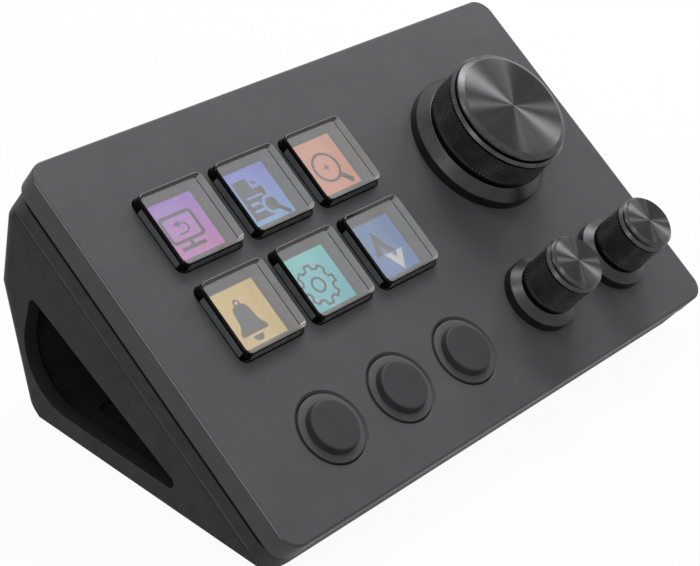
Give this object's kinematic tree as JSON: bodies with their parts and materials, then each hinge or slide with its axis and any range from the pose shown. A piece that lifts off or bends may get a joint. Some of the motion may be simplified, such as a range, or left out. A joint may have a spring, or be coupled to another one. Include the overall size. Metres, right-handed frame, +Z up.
{
  "type": "macro keypad",
  "caption": "Wedge-shaped macro keypad for a desk, with clear display keys, round buttons, a large push dial and small push knobs on a sloping plate",
  "frame": {"origin": "on the desk, below the middle of the unit's bounding box", "axes": "+X to the unit's right as the user faces it, +Y away from the user, +Z up"},
  "size_m": [0.134, 0.0786, 0.0562],
  "materials": {
    "plate": "fine satin dark grey",
    "shell": "fine satin charcoal",
    "base": "fine matt black",
    "rubber": "matt black",
    "screw": "bright steel",
    "board": "solder mask green",
    "membrane": "translucent grey silicone",
    "screen": "dark display glass",
    "bracket": "plain sheet",
    "flex": "amber film",
    "chip": "moulded black",
    "contact": "plated steel",
    "collar": "black anodised, turned",
    "grip": "black anodised, fine diamond knurl",
    "disc": "dark anodised, spun",
    "shaft": "turned steel",
    "rotor": "natural plastic",
    "key_black": "polished black",
    "key_clear": "polished clear, slightly smoky",
    "button": "fine satin dark grey"
  },
  "bodies": {
    "base": {"top_plate": "plate", "shell": "shell", "base_cover": "base", "feet": "rubber", "case_screws": "screw", "cover_screws": "screw", "board_screws": "screw", "panel_screws": "screw", "key_board": "board", "key_membrane": "membrane", "screen_panel": "screen", "screen_bracket": "bracket", "screen_flex": "flex", "main_board": "board", "board_chips": "chip", "cable_socket": "contact", "button_switches": "chip", "encoder_bases": "chip", "encoder_cases": "contact", "dial_collar": "collar", "left_collar": "collar", "right_collar": "collar"},
    "key_1": {"key_frame_1": "key_black", "key_lens_1": "key_clear"},
    "key_2": {"key_frame_2": "key_black", "key_lens_2": "key_clear"},
    "key_3": {"key_frame_3": "key_black", "key_lens_3": "key_clear"},
    "key_4": {"key_frame_4": "key_black", "key_lens_4": "key_clear"},
    "key_5": {"key_frame_5": "key_black", "key_lens_5": "key_clear"},
    "key_6": {"key_frame_6": "key_black", "key_lens_6": "key_clear"},
    "button_1": {"button_1": "button"},
    "button_2": {"button_2": "button"},
    "button_3": {"button_3": "button"},
    "dial_detent": {"dial_rotor": "rotor"},
    "dial": {"dial_shaft": "shaft", "dial_grip": "grip", "dial_disc": "disc"},
    "left_knob_detent": {"left_rotor": "rotor"},
    "left_knob": {"left_shaft": "shaft", "left_grip": "grip", "left_disc": "disc"},
    "right_knob_detent": {"right_rotor": "rotor"},
    "right_knob": {"right_shaft": "shaft", "right_grip": "grip", "right_disc": "disc"}
  },
  "joints": [
    {"name": "key_1_press", "type": "slide", "parent": "base", "child": "key_1", "axis": [0, 0.5255, -0.8508], "range_m": [0, 0.0008], "stiffness_N_per_m": 300, "springref_m": -0.0015},
    {"name": "key_2_press", "type": "slide", "parent": "base", "child": "key_2", "axis": [0, 0.5255, -0.8508], "range_m": [0, 0.0008], "stiffness_N_per_m": 300, "springref_m": -0.0015},
    {"name": "key_3_press", "type": "slide", "parent": "base", "child": "key_3", "axis": [0, 0.5255, -0.8508], "range_m": [0, 0.0008], "stiffness_N_per_m": 300, "springref_m": -0.0015},
    {"name": "key_4_press", "type": "slide", "parent": "base", "child": "key_4", "axis": [0, 0.5255, -0.8508], "range_m": [0, 0.0008], "stiffness_N_per_m": 300, "springref_m": -0.0015},
    {"name": "key_5_press", "type": "slide", "parent": "base", "child": "key_5", "axis": [0, 0.5255, -0.8508], "range_m": [0, 0.0008], "stiffness_N_per_m": 300, "springref_m": -0.0015},
    {"name": "key_6_press", "type": "slide", "parent": "base", "child": "key_6", "axis": [0, 0.5255, -0.8508], "range_m": [0, 0.0008], "stiffness_N_per_m": 300, "springref_m": -0.0015},
    {"name": "button_1_press", "type": "slide", "parent": "base", "child": "button_1", "axis": [0, 0.5255, -0.8508], "range_m": [0, 0.0007], "stiffness_N_per_m": 200, "springref_m": -0.002},
    {"name": "button_2_press", "type": "slide", "parent": "base", "child": "button_2", "axis": [0, 0.5255, -0.8508], "range_m": [0, 0.0007], "stiffness_N_per_m": 200, "springref_m": -0.002},
    {"name": "button_3_press", "type": "slide", "parent": "base", "child": "button_3", "axis": [0, 0.5255, -0.8508], "range_m": [0, 0.0007], "stiffness_N_per_m": 200, "springref_m": -0.002},
    {"name": "dial_turn", "type": "hinge", "parent": "base", "child": "dial_detent", "pos_m": [0.03487, 0.00501, 0.03735], "axis": [0, -0.5255, 0.8508], "continuous": true},
    {"name": "dial_press", "type": "slide", "parent": "dial_detent", "child": "dial", "axis": [0, 0.5255, -0.8508], "range_m": [0, 0.0004], "stiffness_N_per_m": 1200, "springref_m": -0.0012},
    {"name": "left_knob_turn", "type": "hinge", "parent": "base", "child": "left_knob_detent", "pos_m": [0.02196, -0.02464, 0.01903], "axis": [0, -0.5255, 0.8508], "continuous": true},
    {"name": "left_knob_press", "type": "slide", "parent": "left_knob_detent", "child": "left_knob", "axis": [0, 0.5255, -0.8508], "range_m": [0, 0.0004], "stiffness_N_per_m": 1200, "springref_m": -0.0012},
    {"name": "right_knob_turn", "type": "hinge", "parent": "base", "child": "right_knob_detent", "pos_m": [0.04778, -0.02464, 0.01903], "axis": [0, -0.5255, 0.8508], "continuous": true},
    {"name": "right_knob_press", "type": "slide", "parent": "right_knob_detent", "child": "right_knob", "axis": [0, 0.5255, -0.8508], "range_m": [0, 0.0004], "stiffness_N_per_m": 1200, "springref_m": -0.0012}
  ]
}
